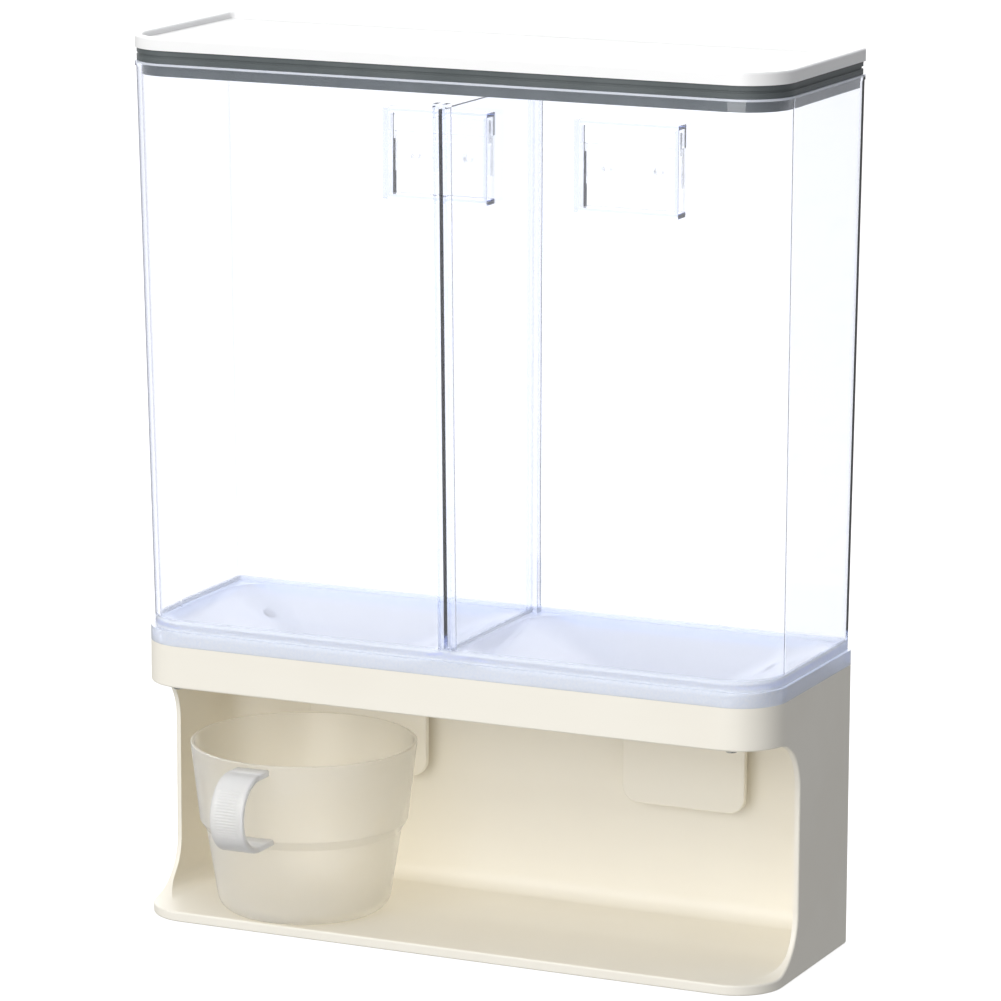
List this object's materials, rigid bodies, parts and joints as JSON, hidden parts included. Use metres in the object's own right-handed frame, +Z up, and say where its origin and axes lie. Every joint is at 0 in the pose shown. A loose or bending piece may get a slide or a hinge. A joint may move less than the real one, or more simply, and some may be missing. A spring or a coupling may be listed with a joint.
{
  "type": "wall-mounted rice dispenser",
  "caption": "Wall-mounted dry food dispenser: clear divided bin with funnel floor on an open ivory base, push paddles with drop gates, lift-off lid, measuring cup.",
  "frame": {"origin": "centre of the base's underside, where the dispenser rests on a worktop", "axes": "+X to the right seen from the front, +Y towards the wall behind, +Z up"},
  "size_m": [0.3246, 0.15, 0.4195],
  "materials": {
    "clear_plastic": "clear polished polystyrene",
    "ivory_plastic": "fine satin",
    "white_plastic": "semi-gloss",
    "grey_silicone": "matte silicone",
    "pale_silicone": "matte silicone",
    "frosted_plastic": "frosted translucent polypropylene",
    "steel": "zinc plated",
    "spring_steel": "drawn wire",
    "clear_tape": "clear self-adhesive gel"
  },
  "bodies": {
    "dispenser": {"base_housing": "ivory_plastic", "storage_bin": "clear_plastic", "divider": "clear_plastic", "chute_deck": "ivory_plastic", "deck_screws": "steel", "bin_screws": "steel", "left_outlet_seal": "pale_silicone", "left_pivot_pin": "steel", "left_pin_clip": "steel", "left_return_spring": "spring_steel", "right_outlet_seal": "pale_silicone", "right_pivot_pin": "steel", "right_pin_clip": "steel", "right_return_spring": "spring_steel"},
    "lid": {"lid": "white_plastic", "lid_seal": "grey_silicone"},
    "measuring_cup": {"measuring_cup": "frosted_plastic", "cup_handle": "frosted_plastic"},
    "left_lever": {"left_paddle": "ivory_plastic", "left_gate": "ivory_plastic", "left_gate_screws": "steel"},
    "left_hook": {"left_wall_hook": "clear_plastic", "left_adhesive_pad": "clear_tape"},
    "right_lever": {"right_paddle": "ivory_plastic", "right_gate": "ivory_plastic", "right_gate_screws": "steel"},
    "right_hook": {"right_wall_hook": "clear_plastic", "right_adhesive_pad": "clear_tape"}
  },
  "joints": [
    {"name": "lid_lift", "type": "slide", "parent": "dispenser", "child": "lid", "axis": [0, 0, 1], "range_m": [0, 0.06]},
    {"name": "cup_draw", "type": "slide", "parent": "dispenser", "child": "measuring_cup", "axis": [0, -1, 0], "range_m": [0, 0.12]},
    {"name": "left_lever_pivot", "type": "hinge", "parent": "dispenser", "child": "left_lever", "pos_m": [-0.082, 0.039, 0.1075], "axis": [1, 0, 0], "range_deg": [0, 10], "stiffness_Nm_per_rad": 0.06, "springref_deg": -20.05, "deforming": ["left_return_spring"]},
    {"name": "left_hook_release", "type": "slide", "parent": "dispenser", "child": "left_hook", "axis": [0, 0, -1], "range_m": [0, 0.0095]},
    {"name": "right_lever_pivot", "type": "hinge", "parent": "dispenser", "child": "right_lever", "pos_m": [0.082, 0.039, 0.1075], "axis": [1, 0, 0], "range_deg": [0, 10], "stiffness_Nm_per_rad": 0.06, "springref_deg": -20.05, "deforming": ["right_return_spring"]},
    {"name": "right_hook_release", "type": "slide", "parent": "dispenser", "child": "right_hook", "axis": [0, 0, -1], "range_m": [0, 0.0095]}
  ]
}
